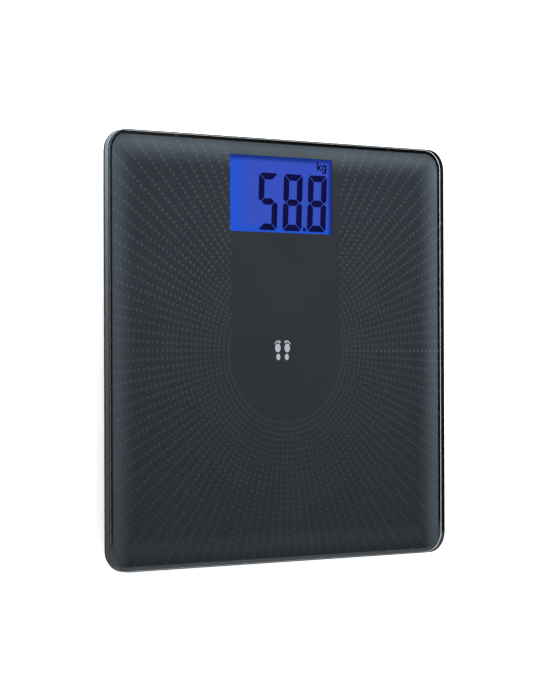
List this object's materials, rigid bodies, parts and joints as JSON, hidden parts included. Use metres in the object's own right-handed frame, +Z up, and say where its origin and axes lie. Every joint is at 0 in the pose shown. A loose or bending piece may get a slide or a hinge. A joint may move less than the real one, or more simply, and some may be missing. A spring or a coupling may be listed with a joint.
{
  "type": "digital bathroom scale",
  "caption": "Square glass platform scale with a dotted dark print, a backlit blue display behind a window, and sprung load-cell feet under its corners.",
  "frame": {"origin": "on the floor under the centre of the platform, level with the soles of the feet", "axes": "+Z up out of the platform's top, +Y towards the display, +X to the right of someone who reads it"},
  "size_m": [0.3, 0.3, 0.026],
  "materials": {
    "platform_glass": "polished",
    "print_film": "printed dark grey, seen through glass",
    "housing_shell": "fine spark-eroded grain",
    "foot_shell": "fine spark-eroded grain",
    "white_plastic": "moulded",
    "foam_tape": "cut foam",
    "stamped_steel": "stamped, nickel flash",
    "nickel_steel": "nickel plated",
    "silicone": "soft satin",
    "foot_rubber": "matt",
    "display": "backlit blue",
    "light_guide": "clear",
    "elastomer": "matt",
    "circuit_board": "solder resist",
    "epoxy": "potted",
    "battery": "printed sleeve",
    "lead": "insulated wire"
  },
  "bodies": {
    "platform": {"platform_glass": "platform_glass", "print_film": "print_film", "housing": "housing_shell", "housing_tape": "foam_tape", "lcd_panel": "display", "lcd_holder": "white_plastic", "backlight_guide": "light_guide", "backlight_led_board": "white_plastic", "zebra_strip": "elastomer", "circuit_board": "circuit_board", "controller_chip": "epoxy", "switch_body": "epoxy", "battery_1": "battery", "battery_2": "battery", "contact_spring_1": "nickel_steel", "contact_spring_2": "nickel_steel", "contact_plate_1": "nickel_steel", "contact_plate_2": "nickel_steel", "board_screw_1": "nickel_steel", "board_screw_2": "nickel_steel", "board_screw_3": "nickel_steel", "board_screw_4": "nickel_steel", "foot_shell_toe_left": "foot_shell", "foot_tape_toe_left": "foam_tape", "load_cell_toe_left": "stamped_steel", "strain_gauge_toe_left": "silicone", "sensor_lead_toe_left": "lead", "foot_shell_toe_right": "foot_shell", "foot_tape_toe_right": "foam_tape", "load_cell_toe_right": "stamped_steel", "strain_gauge_toe_right": "silicone", "sensor_lead_toe_right": "lead", "foot_shell_heel_left": "foot_shell", "foot_tape_heel_left": "foam_tape", "load_cell_heel_left": "stamped_steel", "strain_gauge_heel_left": "silicone", "sensor_lead_heel_left": "lead", "foot_shell_heel_right": "foot_shell", "foot_tape_heel_right": "foam_tape", "load_cell_heel_right": "stamped_steel", "strain_gauge_heel_right": "silicone", "sensor_lead_heel_right": "lead", "lead_clip_left_1": "white_plastic", "lead_clip_left_2": "white_plastic", "lead_clip_right_1": "white_plastic", "lead_clip_right_2": "white_plastic"},
    "foot_toe_left": {"foot_cup_toe_left": "foot_shell", "foot_pad_toe_left": "foot_rubber"},
    "foot_toe_right": {"foot_cup_toe_right": "foot_shell", "foot_pad_toe_right": "foot_rubber"},
    "foot_heel_left": {"foot_cup_heel_left": "foot_shell", "foot_pad_heel_left": "foot_rubber"},
    "foot_heel_right": {"foot_cup_heel_right": "foot_shell", "foot_pad_heel_right": "foot_rubber"},
    "battery_door": {"battery_door": "housing_shell"},
    "unit_button": {"unit_button": "housing_shell", "switch_plunger": "white_plastic"}
  },
  "joints": [
    {"name": "foot_toe_left_flex", "type": "slide", "parent": "platform", "child": "foot_toe_left", "axis": [0, 0, 1], "range_m": [0, 0.0005], "stiffness_N_per_m": 1500, "springref_m": -0.004},
    {"name": "foot_toe_right_flex", "type": "slide", "parent": "platform", "child": "foot_toe_right", "axis": [0, 0, 1], "range_m": [0, 0.0005], "stiffness_N_per_m": 1500, "springref_m": -0.004},
    {"name": "foot_heel_left_flex", "type": "slide", "parent": "platform", "child": "foot_heel_left", "axis": [0, 0, 1], "range_m": [0, 0.0005], "stiffness_N_per_m": 1500, "springref_m": -0.004},
    {"name": "foot_heel_right_flex", "type": "slide", "parent": "platform", "child": "foot_heel_right", "axis": [0, 0, 1], "range_m": [0, 0.0005], "stiffness_N_per_m": 1500, "springref_m": -0.004},
    {"name": "battery_door_hinge", "type": "hinge", "parent": "platform", "child": "battery_door", "pos_m": [0, 0.0429, 0.0029], "axis": [-1, 0, 0], "range_deg": [0, 100]},
    {"name": "unit_button_press", "type": "slide", "parent": "platform", "child": "unit_button", "axis": [0, 0, 1], "range_m": [0, 0.0004], "stiffness_N_per_m": 2500, "springref_m": -0.0003}
  ]
}
